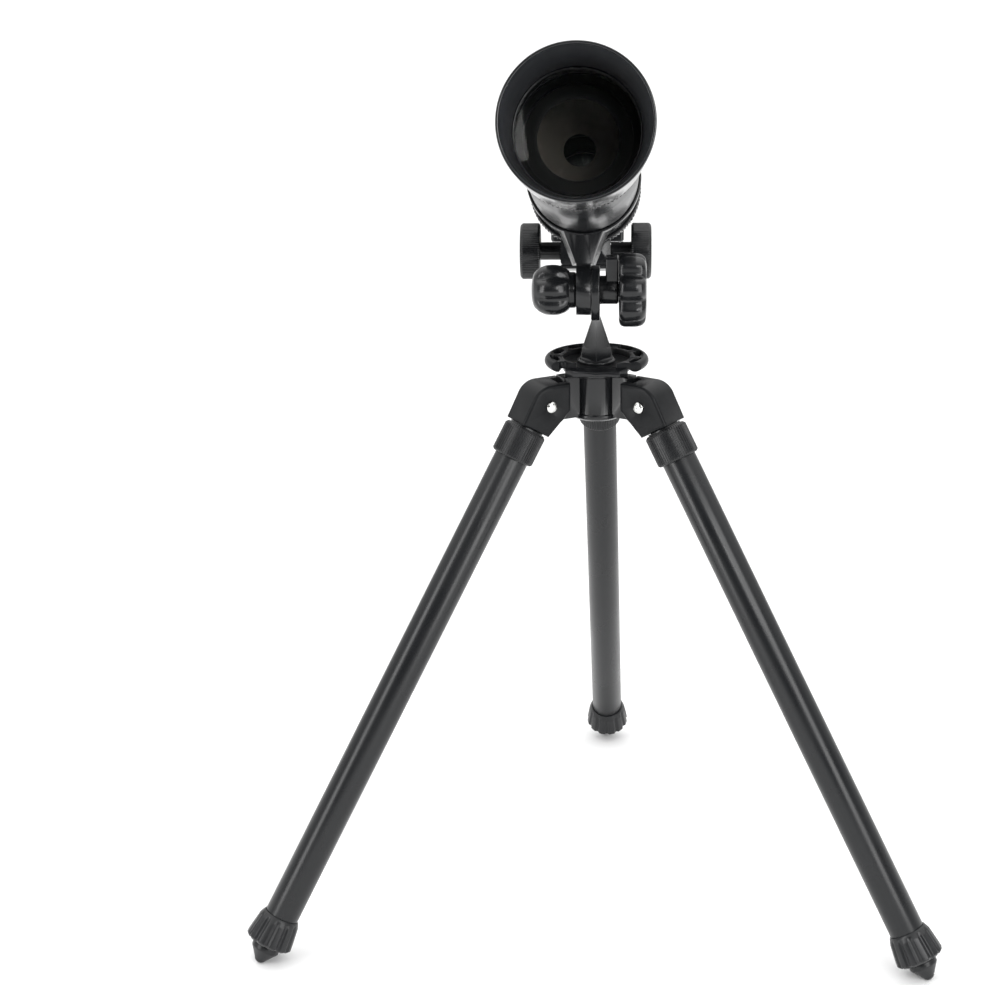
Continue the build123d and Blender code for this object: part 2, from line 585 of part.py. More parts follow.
def focuser_housing():
    """Focuser body: flange and spigot in front, barrel, and the block that holds the pinion."""
    inside = TUBE_R - TUBE_WALL - FIT
    barrel = turned([(DRAWTUBE_R + RUN, -47.0), (inside, -47.0), (inside, TUBE_REAR - FIT),
                     (TUBE_R - FIT, TUBE_REAR - FIT),
                     (TUBE_R - FIT, -64.4), (HOUSING_R, -64.4), (HOUSING_R, HOUSING_REAR + 1.2),
                     (HOUSING_R - 1.2, HOUSING_REAR), (DRAWTUBE_R + RUN, HOUSING_REAR)])
    front = SHAFT_AT + 12.0
    rear = SHAFT_AT - 12.0
    bottom = -SHAFT_BELOW - 7.4
    block = box(-BLOCK_HALF, BLOCK_HALF, bottom, -12.0, rear, front)
    block = fillet(block.edges().filter_by(Axis.Z), 1.5)
    saddle = make_face(Polyline((-20.6, -8.0), (-BLOCK_HALF, -21.5), (BLOCK_HALF, -21.5), (20.6, -8.0),
                                close=True))
    block += Pos(0, 0, rear) * extrude(saddle, front - rear)
    body = barrel + (block - disc(HOUSING_R - 1, -200, 0))
    body -= disc(DRAWTUBE_R + RUN, HOUSING_REAR - 1, 0)
    slot_low = -(RACK_PITCH + 0.5 + PLAY)
    body -= box(-RACK_HALF - 0.12, RACK_HALF + 0.12, slot_low, -10, -200, 0)
    chamber = disc(PITCH_R + GEAR_MODULE + PLAY, -5.4, 5.4)
    body -= Pos(0, -SHAFT_BELOW, SHAFT_AT) * Rot(Y=90) * chamber
    body -= Pos(0, -SHAFT_BELOW, SHAFT_AT) * Rot(Y=90) * disc(SHAFT_R + RUN, -20, 20)
    body -= box(-5.4, 5.4, bottom - 1, -SHAFT_BELOW, SHAFT_AT - PITCH_R - 1.1, SHAFT_AT + PITCH_R + 1.1)
    body -= box(-20, 20, bottom - 1, -SHAFT_BELOW, SHAFT_AT - SHAFT_R - RUN, SHAFT_AT + SHAFT_R + RUN)
    for z in COVER_SCREWS:
        body -= Pos(0, bottom, z) * Rot(X=90) * disc(1.0 + FIT, -5.2, 1)
    body -= Pos(0, 0, LOCK_SCREW_AT) * Rot(X=-90) * disc(2.0 + RUN, 10, 30)
    pad = Pos(0, 0, LOCK_SCREW_AT) * Rot(X=-90) * ring(4.6, 2.0 + RUN, HOUSING_R - 1.5, HOUSING_R + 2.5)
    return body + (pad - disc(DRAWTUBE_R + 1, -200, 0))


def pinion_cover():
    """Plate that closes the pinion chamber from below."""
    bottom = -SHAFT_BELOW - 7.4
    plate = rounded_box(-BLOCK_HALF, BLOCK_HALF, bottom - 2.0, bottom - FIT, SHAFT_AT - 12.0, SHAFT_AT + 12.0,
                        0.6)
    pads = box(-BLOCK_HALF + 0.3, BLOCK_HALF - 0.3, bottom - 0.5, -SHAFT_BELOW, SHAFT_AT - SHAFT_R,
               SHAFT_AT + SHAFT_R)
    pads -= box(-5.6, 5.6, bottom - FIT, 0, -200, 0)
    plate += pads - Pos(0, -SHAFT_BELOW, SHAFT_AT) * Rot(Y=90) * disc(SHAFT_R + RUN, -20, 20)
    for z in COVER_SCREWS:
        plate -= Pos(0, bottom, z) * Rot(X=90) * disc(1.0 + FIT, -2, 5)
    return plate


def cover_screws():
    bottom = -SHAFT_BELOW - 7.4 - 2.0
    screws = None
    for z in COVER_SCREWS:
        screw = Pos(0, bottom - FIT, z) * Rot(X=90) * cap_screw(1.0, 6.5, 2.0, 1.3)
        screws = screw if screws is None else screws + screw
    return screws


def involute_pinion():
    """Pinion gear with involute teeth, about Z."""
    pressure = radians(20)
    base = PITCH_R * cos(pressure)
    outer = PITCH_R + 0.6 * GEAR_MODULE / 0.8 + 0.1
    root = PITCH_R - 0.95
    half_tooth = pi / (2 * PINION_TEETH) - BACKLASH / 2 / PITCH_R

    def flank_angle(radius):
        roll = tan(acos(base / radius))
        return roll - acos(base / radius)

    at_pitch = flank_angle(PITCH_R)
    radii = [base + (outer - base) * k / 6 for k in range(7)]
    points = []
    for tooth in range(PINION_TEETH):
        centre = 2 * pi * tooth / PINION_TEETH
        left = [(root, -half_tooth - at_pitch)]
        left += [(r, -half_tooth - at_pitch + flank_angle(r)) for r in radii]
        right = [(r, -a) for r, a in reversed(left)]
        for r, a in left + right:
            points.append((r * cos(centre + a), r * sin(centre + a)))
    return make_face(Polyline(*points, close=True))


def pinion_shaft():
    """Steel shaft across the focuser with the pinion in the middle."""
    gear = extrude(involute_pinion(), 4.8, both=True)
    gear = Rot(Z=90) * gear
    span = KNOB_SPAN / 2 - 1.2
    shaft = disc(SHAFT_R, -span, span)
    return shaft + gear


def focus_knob():
    """Focus knob with a ribbed rim and a sunk outer face, its inner face at Z = 0."""
    body = extrude(ribbed_outline(KNOB_R, 0.2, 80), KNOB_WIDTH)
    shape = turned([(0, 0), (KNOB_R - 1.0, 0), (KNOB_R, 1.0), (KNOB_R, KNOB_WIDTH - 1.2),
                    (KNOB_R - 1.2, KNOB_WIDTH), (KNOB_R - 2.6, KNOB_WIDTH), (KNOB_R - 3.2, KNOB_WIDTH - 0.7),
                    (4.6, KNOB_WIDTH - 0.7), (4.2, KNOB_WIDTH), (0, KNOB_WIDTH)])
    sleeve = ring(4.4, SHAFT_R + FIT, -(KNOB_SPAN / 2 - KNOB_WIDTH - BLOCK_HALF) + 0.15, 0.3)
    return (body & shape) - disc(SHAFT_R + FIT, -1, KNOB_WIDTH - 1.2 + FIT) + sleeve


def focus_rack():
    """Straight rack glued under the drawtube, teeth facing down."""
    pitch = pi * GEAR_MODULE
    addendum = 0.55
    depth = 1.05
    top = DRAWTUBE_R - 0.3
    slope = tan(radians(20))
    tip = RACK_PITCH + addendum
    root = tip - depth - 0.5
    half_at_pitch = pitch / 4 - BACKLASH / 2
    points = [(RACK_FRONT, top), (RACK_REAR, top), (RACK_REAR, root)]
    count = int((RACK_FRONT - RACK_REAR) / pitch) - 1
    # a tooth gap faces the pinion's downward tooth, so teeth stand half a pitch away from the shaft
    first = SHAFT_AT + pitch / 2
    lowest = first - pitch * int((first - RACK_REAR - pitch) / pitch)
    for k in range(count):
        middle = lowest + pitch * k
        wide = half_at_pitch + (RACK_PITCH - root) * slope
        narrow = half_at_pitch - addendum * slope
        points += [(middle - wide, root), (middle - narrow, tip), (middle + narrow, tip),
                   (middle + wide, root)]
    points.append((RACK_FRONT, root))
    outline = make_face(Polyline(*[(z, -y) for z, y in points], close=True))
    rack = Rot(Y=-90) * extrude(outline, RACK_HALF, both=True)
    return rack - disc(DRAWTUBE_R + FIT, -300, 300)


def drawtube():
    tube = ring(DRAWTUBE_R, DRAWTUBE_BORE, DRAWTUBE_REAR, DRAWTUBE_FRONT)
    collar = turned([(DRAWTUBE_BORE, DRAWTUBE_REAR - 9), (DRAWTUBE_R + 2.0, DRAWTUBE_REAR - 9),
                     (DRAWTUBE_R + 2.6, DRAWTUBE_REAR - 8.4), (DRAWTUBE_R + 2.6, DRAWTUBE_REAR - 0.6),
                     (DRAWTUBE_R + 2.0, DRAWTUBE_REAR), (DRAWTUBE_BORE, DRAWTUBE_REAR)])
    body = tube + collar
    screw_at = DRAWTUBE_REAR - 4.5
    body -= Pos(0, 0, screw_at) * Rot(X=-90) * disc(1.5 + RUN, 10, 30)
    return body


def focuser():
    add("tube_end_ring", tube_place * tube_end_ring())
    add("focuser_housing", tube_place * focuser_housing())
    add("pinion_cover", tube_place * pinion_cover())
    add("cover_screws", tube_place * cover_screws())
    lock_place = tube_place * Pos(0, 0, LOCK_SCREW_AT) * Rot(X=-90) * Pos(0, 0, HOUSING_R + 2.6)
    add("focus_lock_screw", lock_place * thumbscrew(2.0, 6.2, 5.5, 7.0, 24))
    shaft_place = tube_place * Pos(0, -SHAFT_BELOW, SHAFT_AT) * Rot(Y=90)
    add("pinion_shaft", shaft_place * pinion_shaft())
    inner_face = KNOB_SPAN / 2 - KNOB_WIDTH
    add("focus_knob_right", shaft_place * Pos(0, 0, inner_face) * focus_knob())
    add("focus_knob_left", shaft_place * Rot(X=180) * Pos(0, 0, inner_face) * focus_knob())
    add("drawtube", tube_place * drawtube())
    add("focus_rack", tube_place * focus_rack())
    holder = Pos(0, 0, DRAWTUBE_REAR - 4.5) * Rot(X=-90) * Pos(0, 0, DRAWTUBE_R + 2.7)
    add("drawtube_screw", tube_place * holder * thumbscrew(1.5, 4.1, 4.0, 6.0, 20))


# ---- star diagonal and eyepiece -------------------------------------------------------
DIAGONAL_HALF = 19.0
DIAGONAL_CUT = 6.0          # the sloped back stands this far behind the mirror, along Z'
SOCKET_TOP = 44.0
NOSE_LENGTH = 24.0
NOSE_BORE = 13.8
MIRROR_HALF = 15.5
MIRROR_THICK = 2.0
COVER_THICK = 1.8
COVER_SCREW_X = 17.4
COVER_SCREW_ALONG = 14.0
SOCKET_SCREW_AT = 38.0
BACK_DEPTH = DIAGONAL_CUT / sqrt(2)


def diagonal_housing():
    """Right-angle housing: square body with a sloped back and a socket on top."""
    h = DIAGONAL_HALF
    side = make_face(Polyline((h, h), (h, -h), (h - DIAGONAL_CUT, -h), (-h, h - DIAGONAL_CUT), (-h, h),
                              close=True))
    body = Rot(Y=-90) * extrude(side, h, both=True)
    body = fillet(body.edges().filter_by(Axis.Z) + body.edges().filter_by(Axis.Y), 1.5)
    body += Rot(X=-90) * disc(19.0, h - 1.0, SOCKET_TOP - 0.8)
    body += Rot(X=-90) * disc(18.3, SOCKET_TOP - 1.0, SOCKET_TOP)
    body -= disc(NOSE_BORE, -2, 60)
    body -= disc(EYEPIECE_R - RUN + FIT, h - 6.0, 60)
    body -= Rot(X=-90) * disc(NOSE_BORE, -2, 60)
    body -= Rot(X=-90) * disc(EYEPIECE_R + RUN, h - 1.0, 60)
    pocket = MIRROR_HALF + 0.3
    body -= Rot(X=45) * box(-pocket, pocket, -BACK_DEPTH - 1, 0, -pocket - 3, pocket + 3)
    body -= Rot(X=-90) * Pos(0, 0, SOCKET_SCREW_AT) * Rot(X=90) * disc(1.5 + RUN, 10, 30)
    for x, along in cover_corners():
        body -= Rot(X=45) * Pos(x, -BACK_DEPTH, along) * Rot(X=-90) * disc(0.8 + FIT, -1, 5)
    return body


def cover_corners():
    return [(x, along) for x in (-COVER_SCREW_X, COVER_SCREW_X) for along in (-COVER_SCREW_ALONG,
                                                                              COVER_SCREW_ALONG)]


def diagonal_nosepiece():
    """Plated barrel pressed into the housing and pushed into the drawtube."""
    low = DIAGONAL_HALF - 5.8
    high = DIAGONAL_HALF + NOSE_LENGTH
    return turned([(NOSE_BORE + 0.2, low), (EYEPIECE_R - RUN, low), (EYEPIECE_R - RUN, high - 0.6),
                   (EYEPIECE_R - RUN - 0.6, high), (NOSE_BORE + 0.2, high)])


def diagonal_mirror():
    return Rot(X=45) * box(-MIRROR_HALF, MIRROR_HALF, -MIRROR_THICK, -FIT, -MIRROR_HALF - 2, MIRROR_HALF + 2)


def diagonal_cover():
    """Sloped back plate with a pad that presses the mirror home."""
    length = (DIAGONAL_HALF - DIAGONAL_CUT / 2) * sqrt(2) - 0.6
    plate = box(-DIAGONAL_HALF + 0.4, DIAGONAL_HALF - 0.4, -BACK_DEPTH - COVER_THICK, -BACK_DEPTH - FIT,
                -length, length)
    plate = fillet(plate.edges().filter_by(Axis.Y), 2.0)
    plate += box(-12, 12, -BACK_DEPTH - 0.2, -MIRROR_THICK - FIT, -13, 13)
    plate = Rot(X=45) * plate
    for x, along in cover_corners():
        plate -= Rot(X=45) * Pos(x, -BACK_DEPTH, along) * Rot(X=-90) * disc(0.8 + FIT, -5, 5)
    return plate


def diagonal_cover_screws():
    screws = None
    for x, along in cover_corners():
        place = Rot(X=45) * Pos(x, -BACK_DEPTH - COVER_THICK - FIT, along) * Rot(X=90)
        screw = place * cap_screw(0.8, 5.5, 1.5, 1.0)
        screws = screw if screws is None else screws + screw
    return screws


def eyepiece_body():
    """Eyepiece: plated barrel below, black body above, axis along Z, socket top at SOCKET_TOP."""
    t = SOCKET_TOP
    return turned([(13.4, t - 20), (EYEPIECE_R, t - 20), (EYEPIECE_R, t + FIT), (17.6, t + FIT),
                   (18.0, t + 0.6),
                   (18.0, t + 9), (17.2, t + 10), (17.2, t + 19), (15.0, t + 22), (15.0, t + 26),
                   (8.6, t + 26),
                   (8.6, t + 24.8), (7.6, t + 24.8), (7.6, t + 17.0), (12.4, t + 10), (12.4, t - 12),
                   (13.4, t - 13)])


def eyepiece_lens(radius, thickness, bulge, low):
    """Plano-convex lens, flat face down."""
    count = 6
    arch = (radius ** 2 + bulge ** 2) / (2 * bulge)
    top = []
    for k in range(count, -1, -1):
        r = radius * k / count
        top.append((r, low + thickness + sqrt(arch ** 2 - r ** 2) - (arch - bulge)))
    return turned([(0, low), (radius, low)] + top)


def eyecup():
    """Soft rubber cup that grips the top of the eyepiece."""
    t = SOCKET_TOP
    return turned([(15.0 + FIT, t + 22.6), (16.9, t + 22.6), (17.3, t + 23.4), (16.4, t + 27.0),
                   (17.8, t + 33.0),
                   (17.1, t + 33.8), (16.1, t + 33.2), (13.8, t + 27.6), (12.0, t + 26.6),
                   (12.0, t + 26 + FIT),
                   (15.0 + FIT, t + 26 + FIT)])


def diagonal():
    place = tube_place * Pos(0, 0, DIAGONAL_AT)
    up = place * Rot(X=-90)
    add("diagonal_housing", place * diagonal_housing())
    add("diagonal_nosepiece", place * diagonal_nosepiece())
    add("diagonal_mirror", place * diagonal_mirror())
    add("diagonal_cover", place * diagonal_cover())
    add("diagonal_cover_screws", place * diagonal_cover_screws())
    side = up * Pos(0, 0, SOCKET_SCREW_AT) * Rot(X=90) * Pos(0, 0, 19.1)
    add("diagonal_screw", side * thumbscrew(1.5, 3.0, 4.0, 6.0, 20))
    add("eyepiece_body", up * eyepiece_body())
    add("field_lens", up * eyepiece_lens(12.4 - FIT, 2.0, 1.6, SOCKET_TOP - 10.0))
    add("eye_lens", up * eyepiece_lens(7.6 - FIT, 1.8, 1.2, SOCKET_TOP + 19.0))
    add("eyecup", up * eyecup())


def telescope():
    add("dew_shield", tube_place * dew_shield())
    add("objective_cell", tube_place * objective_cell())
    optics()
    add("main_tube", tube_place * main_tube())
    add("tube_bracket", scope_place * tube_bracket())
    focuser()
    diagonal()


tripod()
head()
telescope()

boxes = [shape.bounding_box() for shape in nodes.values()]
ORIGIN = Vector(
    (min(b.min.X for b in boxes) + max(b.max.X for b in boxes)) / 2,
    (min(b.min.Y for b in boxes) + max(b.max.Y for b in boxes)) / 2,
    min(b.min.Z for b in boxes),
)
for name, shape in nodes.items():
    export_step(Pos(-ORIGIN.X, -ORIGIN.Y, -ORIGIN.Z) * shape, f"parts/{name}.step")
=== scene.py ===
"""Looks of a small spotting scope on a folding table tripod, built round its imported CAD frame."""

import json
import math

import bmesh
import bpy
from mathutils import Matrix, Vector


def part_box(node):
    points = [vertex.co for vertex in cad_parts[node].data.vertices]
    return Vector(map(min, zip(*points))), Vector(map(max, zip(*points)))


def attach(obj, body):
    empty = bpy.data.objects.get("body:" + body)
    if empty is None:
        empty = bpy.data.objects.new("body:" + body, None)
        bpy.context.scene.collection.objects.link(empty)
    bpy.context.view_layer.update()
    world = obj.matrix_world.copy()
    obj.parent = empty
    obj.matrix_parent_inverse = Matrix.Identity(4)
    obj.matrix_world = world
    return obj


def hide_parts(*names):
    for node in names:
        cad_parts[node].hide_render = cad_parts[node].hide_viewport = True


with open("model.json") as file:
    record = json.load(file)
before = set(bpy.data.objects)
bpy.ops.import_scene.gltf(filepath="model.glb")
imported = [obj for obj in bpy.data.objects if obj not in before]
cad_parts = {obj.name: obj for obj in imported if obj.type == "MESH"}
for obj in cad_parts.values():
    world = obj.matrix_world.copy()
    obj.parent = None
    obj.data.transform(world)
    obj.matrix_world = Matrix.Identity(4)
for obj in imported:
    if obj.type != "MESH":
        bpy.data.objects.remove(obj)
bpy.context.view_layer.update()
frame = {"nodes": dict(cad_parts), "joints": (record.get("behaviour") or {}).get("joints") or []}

NODES = frame["nodes"]
JOINTS = {joint["name"]: joint for joint in frame["joints"]}
LEGS = ("left", "right", "back")
MM = 0.001

# ---- driving sizes, in millimetres, the same as the CAD source's ----------------------
TUBE_HEIGHT = 51.0          # tube centre line above the tilt axis
TUBE_R = 25.0
TUBE_FRONT = 158.0          # along the tube from the tilt axis
TUBE_REAR = -58.0
HOOD_FRONT = 217.0
HOOD_REAR = 164.0
HOOD_CONE_END = 183.2
HOOD_MOUTH_R = 29.4
HOOD_REAR_R = 27.7
CELL_REAR = 150.0
CELL_RIB_R = 27.2
CELL_SPIGOT_R = 26.2
LENS_R = 25.0
CLEAR_R = 24.0
LENS_SEAT = 162.0           # rear edge of the lenses
CELL_STEP_R = 21.4          # clear radius behind the lenses
RING_FRONT = -54.0
RING_REAR = -67.0
RING_R = 26.9
KNOB_R = 13.75
KNOB_WIDTH = 9.9
KNOB_SPAN = 64.4
BLOCK_HALF = 12.2
SHAFT_R = 3.2
DIAGONAL_AT = -166.0
SOCKET_TOP = 44.0
EYEPIECE_R = 15.85
CLAMP_START = 10.2          # inner face of the clamp knob, from the post's middle
CLAMP_LENGTH = 12.6
CLAMP_R = 17.0
BALL_SEAT = 9.2             # outer face of the bracket's eye, from the post's middle
BALL_FLANGE = 3.0
BALL_LENGTH = 17.4
BALL_R = 12.2
BOLT_R = 3.0
BRACKET_END = 31.5          # along the leg from the tray plane
COLLAR_TOP = 32.3
COLLAR_LENGTH = 15.2
COLLAR_R = 10.0
COLLAR_RIBS = 52
LEG_TUBE_R = 8.0
LEG_TUBE_WALL = 1.4
LOCK_TOP = 286.5
LOCK_BOTTOM = 301.0
LOCK_TOP_R = 8.9
LOCK_FLARE_R = 11.25
INNER_TUBE_R = 6.5
INNER_TUBE_WALL = 0.9
LEG_REACH = 311.3
TIP_ROUND = 3.0
FLUTES = 12                 # round one twist ring
FLUTE_DEPTH = 0.75
FLUTE_HALF = 7.0            # degrees
RIB_STEEPNESS = 3.0         # higher gives ribs with steeper sides
GAP = 0.05                  # clearance that keeps separate pieces apart

# ---- the photographer's camera ---------------------------------------------------------
CAMERA_FROM_TRAY = (0.0081, -1.030, 0.278)
CAMERA_LENS = 84.17
CAMERA_SENSOR = 36.0
CAMERA_PITCH = 18.38        # degrees, down
CAMERA_YAW = -3.18
CAMERA_ROLL = 0.92


# ---- places, from the frame's joints ---------------------------------------------------
def joint_point(name):
    return Vector(JOINTS[name]["pos_m"])


def joint_axis(name):
    return Vector(JOINTS[name]["axis"]).normalized()


def placed(origin, z_axis, x_hint):
    """Placement matrix from an origin, its Z direction and roughly its X direction."""
    z_axis = z_axis.normalized()
    y_axis = z_axis.cross(x_hint).normalized()
    x_axis = y_axis.cross(z_axis)
    matrix = Matrix((x_axis, y_axis, z_axis)).transposed().to_4x4()
    matrix.translation = origin
    return matrix


RIGHT = Vector((1, 0, 0))
FORWARD = -joint_axis("focus_draw")
UP = joint_axis("eyepiece_slide")
PIVOT = joint_point("altitude")
SCOPE_PIVOT = Vector((joint_point("focus_turn").x, PIVOT.y, PIVOT.z))
TUBE = placed(SCOPE_PIVOT + UP * TUBE_HEIGHT * MM, FORWARD, RIGHT)
SHAFT = placed(joint_point("focus_turn"), RIGHT, FORWARD)
TILT = placed(PIVOT, RIGHT, FORWARD)
EYE = placed(TUBE @ Vector((0, 0, DIAGONAL_AT * MM)), UP, RIGHT)


def leg_place(leg):
    """Frame of one leg: Z up the leg from the tray plane, Y along the hinge pin."""
    up_leg = -joint_axis(f"twist_{leg}")
    origin = joint_point(f"twist_{leg}") + up_leg * LOCK_TOP * MM
    return placed(origin, up_leg, joint_axis(f"fold_{leg}").cross(up_leg))


# ---- mesh helpers ----------------------------------------------------------------------
def rounded(points, radius, steps=4):
    """The outline with its corners rounded; a corner next to a short side is rounded less."""
    result = []
    count = len(points)
    for i in range(count):
        before = Vector(points[i - 1])
        corner = Vector(points[i])
        after = Vector(points[(i + 1) % count])
        into = before - corner
        out = after - corner
        cut = min(radius, into.length * 0.45, out.length * 0.45)
        straight = into.length < 1e-6 or out.length < 1e-6 or into.normalized().dot(out.normalized()) < -0.995
        if straight or corner.x < 1e-6:
            result.append(tuple(corner))
            continue
        start = corner + into.normalized() * cut
        end = corner + out.normalized() * cut
        for k in range(steps + 1):
            t = k / steps
            point = start * (1 - t) ** 2 + corner * 2 * t * (1 - t) + end * t ** 2
            result.append(tuple(point))
    return result


def new_object(name, mesh, place, body, material):
    mesh.materials.append(material)
    obj = bpy.data.objects.new(name, mesh)
    bpy.context.scene.collection.objects.link(obj)
    obj.matrix_world = place
    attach(obj, body)
    return obj


def turn(name, outline, place, body, material, count=128, shape=None, sharp=40):
    """Turned mesh about Z from a closed (radius, height) outline in millimetres.
    shape(radius, height, angle) may give back another radius, for ribs and lobes."""
    mesh = bpy.data.meshes.new(name)
    built = bmesh.new()
    rows = []
    for k in range(count):
        angle = 2 * math.pi * k / count
        row = []
        for radius, height in outline:
            r = shape(radius, height, angle) if shape else radius
            row.append(built.verts.new((r * math.cos(angle) * MM, r * math.sin(angle) * MM, height * MM)))
        rows.append(row)
    size = len(outline)
    for k in range(count):
        here = rows[k]
        following = rows[(k + 1) % count]
        for i in range(size):
            j = (i + 1) % size
            if outline[i][0] < 1e-6 and outline[j][0] < 1e-6:
                continue
            built.faces.new((here[i], following[i], following[j], here[j]))
    bmesh.ops.remove_doubles(built, verts=built.verts, dist=1e-7)
    bmesh.ops.dissolve_degenerate(built, edges=built.edges, dist=1e-8)
    bmesh.ops.recalc_face_normals(built, faces=built.faces)
    built.to_mesh(mesh)
    built.free()
    mesh.shade_smooth()
    mesh.set_sharp_from_angle(angle=math.radians(sharp))
    return new_object(name, mesh, place, body, material)


def ribs(count, depth, above):
    """Shape function for `count` rounded ribs on the faces whose radius is above a limit."""
    def shape(radius, height, angle):
        if radius < above:
            return radius
        valley = 0.5 - 0.5 * math.tanh(RIB_STEEPNESS * math.cos(count * angle)) / math.tanh(RIB_STEEPNESS)
        return radius - depth * valley
    return shape


def lobes(count, depth, edge, hub):
    """Shape function for a hand wheel: broad lobes, narrower valleys, plain near the hub."""
    def shape(radius, height, angle):
        dip = (0.5 - 0.5 * math.cos(count * angle)) ** 2
        share = min(1.0, max(0.0, (radius - hub) / (edge - hub)))
        return radius - depth * dip * share
    return shape


def soften(node, width=0.35, angle=32):
    """Small rounded edges and smooth faces on a CAD node that keeps its own shape."""
    obj = NODES[node]
    weld = obj.modifiers.new("weld", "WELD")
    weld.merge_threshold = 2e-6
    bevel = obj.modifiers.new("bevel", "BEVEL")
    bevel.width = width * MM
    bevel.segments = 2
    bevel.limit_method = "ANGLE"
    bevel.angle_limit = math.radians(angle)
    bevel.harden_normals = True
    obj.data.shade_smooth()


# ---- materials -------------------------------------------------------------------------
class Nodes:
    """Small helper that adds nodes to a new material and links them."""

    def __init__(self, name):
        self.material = bpy.data.materials.new(name)
        self.material.use_nodes = True
        self.tree = self.material.node_tree
        self.shader = self.tree.nodes["Principled BSDF"]
        self.coordinates = self.tree.nodes.new("ShaderNodeTexCoord").outputs["Object"]

    def add(self, kind, links=(), **values):
        node = self.tree.nodes.new(kind)
        for key, value in values.items():
            if hasattr(node, key):
                setattr(node, key, value)
            else:
                node.inputs[key.replace("_", " ").title()].default_value = value
        for socket, source in dict(links).items():
            self.tree.links.new(source, node.inputs[socket])
        return node

    def link(self, source, socket):
        self.tree.links.new(source, self.shader.inputs[socket])

    def noise(self, scale, detail=3.0, stretch=None):
        source = self.coordinates
        if stretch:
            source = self.add("ShaderNodeMapping", {"Vector": source}, Scale=stretch).outputs["Vector"]
        return self.add("ShaderNodeTexNoise", {"Vector": source}, Scale=scale, Detail=detail).outputs["Fac"]

    def span(self, source, low, high, start=0.3, stop=0.7):
        """The source's values from start to stop, spread from low to high."""
        node = self.add("ShaderNodeMapRange", {"Value": source})
        for socket, value in (("From Min", start), ("From Max", stop), ("To Min", low), ("To Max", high)):
            node.inputs[socket].default_value = value
        return node.outputs["Result"]

    def mix(self, factor, first, second):
        node = self.tree.nodes.new("ShaderNodeMix")
        node.data_type = "RGBA"
        node.inputs["A"].default_value = (*first, 1)
        node.inputs["B"].default_value = (*second, 1)
        self.tree.links.new(factor, node.inputs["Factor"])
        return node.outputs["Result"]

    def bump(self, height, strength, distance):
        node = self.add("ShaderNodeBump", {"Height": height})
        node.inputs["Strength"].default_value = strength
        node.inputs["Distance"].default_value = distance
        self.link(node.outputs["Normal"], "Normal")


def moulded(name, colour, roughness, grain, depth, gloss=0.5):
    """Moulded plastic: slow change of gloss, fine mould grain, a little dust in the colour."""
    made = Nodes(name)
    cloud = made.noise(35, 4.0)
    speck = made.noise(grain, 2.0)
    made.link(made.span(cloud, roughness * 0.82, roughness * 1.2), "Roughness")
    dusty = tuple(c * 1.3 + 0.0008 for c in colour)
    made.link(made.mix(made.span(made.noise(160, 5.0), 0.0, 1.0, 0.45, 0.75), colour, dusty), "Base Color")
    made.bump(speck, 0.35, depth)
    made.shader.inputs["Specular IOR Level"].default_value = gloss
    return made.material


def drawn_tube(name, colour, roughness):
    """Anodised tube: fine draw lines along Z, with soft changes in gloss."""
    made = Nodes(name)
    lines = made.noise(900, 2.0, (1, 1, 0.012))
    cloud = made.noise(30, 3.0)
    made.link(made.span(cloud, roughness * 0.85, roughness * 1.15), "Roughness")
    made.link(made.mix(lines, colour, tuple(c * 1.5 for c in colour)), "Base Color")
    made.bump(lines, 0.12, 0.00003)
    made.shader.inputs["Specular IOR Level"].default_value = 0.4
    return made.material


def turned_metal(name, colour, roughness, depth=0.00002):
    """Machined metal with fine tool rings."""
    made = Nodes(name)
    rings = made.noise(700, 2.0, (0.05, 0.05, 1))
    made.link(made.span(rings, roughness * 0.7, roughness * 1.3), "Roughness")
    made.link(made.mix(made.noise(60, 3.0), colour, tuple(c * 0.86 for c in colour)), "Base Color")
    made.bump(rings, 0.2, depth)
    made.shader.inputs["Metallic"].default_value = 1.0
    return made.material


def lens_glass(name, colour):
    """Coated optical glass, with the faintest haze."""
    made = Nodes(name)
    made.link(made.span(made.noise(20, 2.0), 0.0, 0.002), "Roughness")
    made.link(made.mix(made.noise(25, 2.0), colour, tuple(c * 0.97 for c in colour)), "Base Color")
    made.shader.inputs["Transmission Weight"].default_value = 1.0
    made.shader.inputs["IOR"].default_value = 1.52
    made.shader.inputs["Specular Tint"].default_value = (0.16, 0.12, 0.085, 1)
    return made.material


def coated_lens(name, colour):
    """Multi-coated objective: clear, with a weak reflection and the faintest haze."""
    made = Nodes(name)
    made.link(made.span(made.noise(20, 2.0), 0.01, 0.03), "Roughness")
    made.link(made.mix(made.noise(25, 2.0), colour, tuple(c * 1.2 for c in colour)), "Base Color")
    made.shader.inputs["Alpha"].default_value = 0.1
    return made.material


GLOSS_BLACK = moulded("gloss_black", (0.0065, 0.007, 0.0078), 0.22, 900, 0.000012, 0.4)
SATIN_BLACK = moulded("satin_black", (0.006, 0.0065, 0.0072), 0.36, 1400, 0.00003, 0.15)
HOOD_BLACK = moulded("hood_black", (0.007, 0.0075, 0.0085), 0.16, 500, 0.000004, 0.45)
HOOD_INSIDE = moulded("hood_inside", (0.022, 0.0235, 0.026), 0.4, 1200, 0.000006, 0.3)
INSIDE_BLACK = moulded("inside_black", (0.006, 0.0062, 0.0066), 0.55, 1200, 0.000004, 0.3)
CELL_BLACK = moulded("cell_black", (0.006, 0.0065, 0.0072), 0.3, 900, 0.000006, 0.03)
TUBE_BLACK = moulded("tube_black", (0.0055, 0.006, 0.007), 0.24, 500, 0.000003, 0.08)
BAFFLE_GREY = moulded("baffle_grey", (0.5, 0.46, 0.39), 0.6, 900, 0.000006, 0.2)
LEG_BLACK = drawn_tube("leg_black", (0.0055, 0.006, 0.0068), 0.28)
